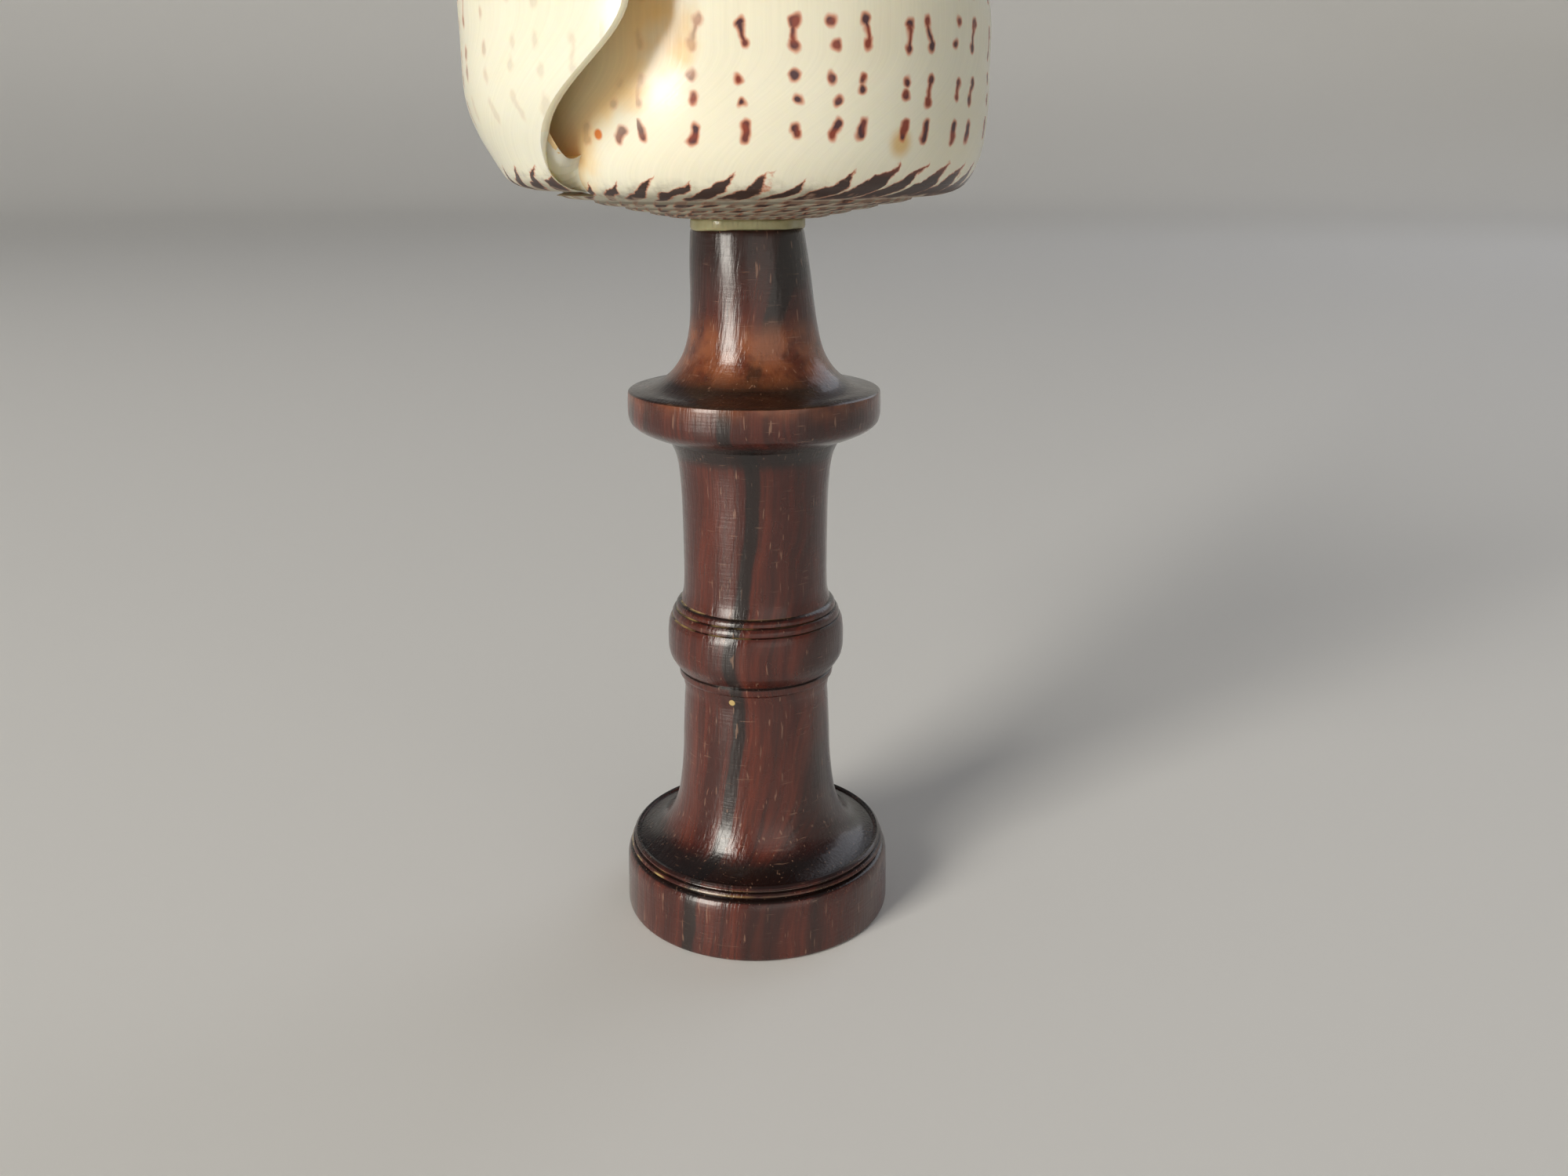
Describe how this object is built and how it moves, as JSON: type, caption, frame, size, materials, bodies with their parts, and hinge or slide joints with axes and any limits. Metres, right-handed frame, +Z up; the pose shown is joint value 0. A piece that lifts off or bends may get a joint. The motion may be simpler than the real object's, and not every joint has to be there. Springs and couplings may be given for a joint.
{
  "type": "lettered cone shell on a turned stand",
  "caption": "Large cone shell with spiral rows of dark marks, spire down, glued on a turned hardwood pedestal for display.",
  "frame": {"origin": "middle of the pedestal's flat foot, on the pedestal's axis", "axes": "+Z up along the pedestal and the shell's coiling axis; the front with the aperture faces -Y, +X to its right"},
  "size_m": [0.0606, 0.0618, 0.19],
  "materials": {
    "hardwood": "waxed, satin",
    "glue": "set clear glue, slightly yellow",
    "shell": "natural porcelain gloss"
  },
  "bodies": {
    "root": {"pedestal": "hardwood", "glue": "glue", "shell": "shell"}
  },
  "joints": []
}
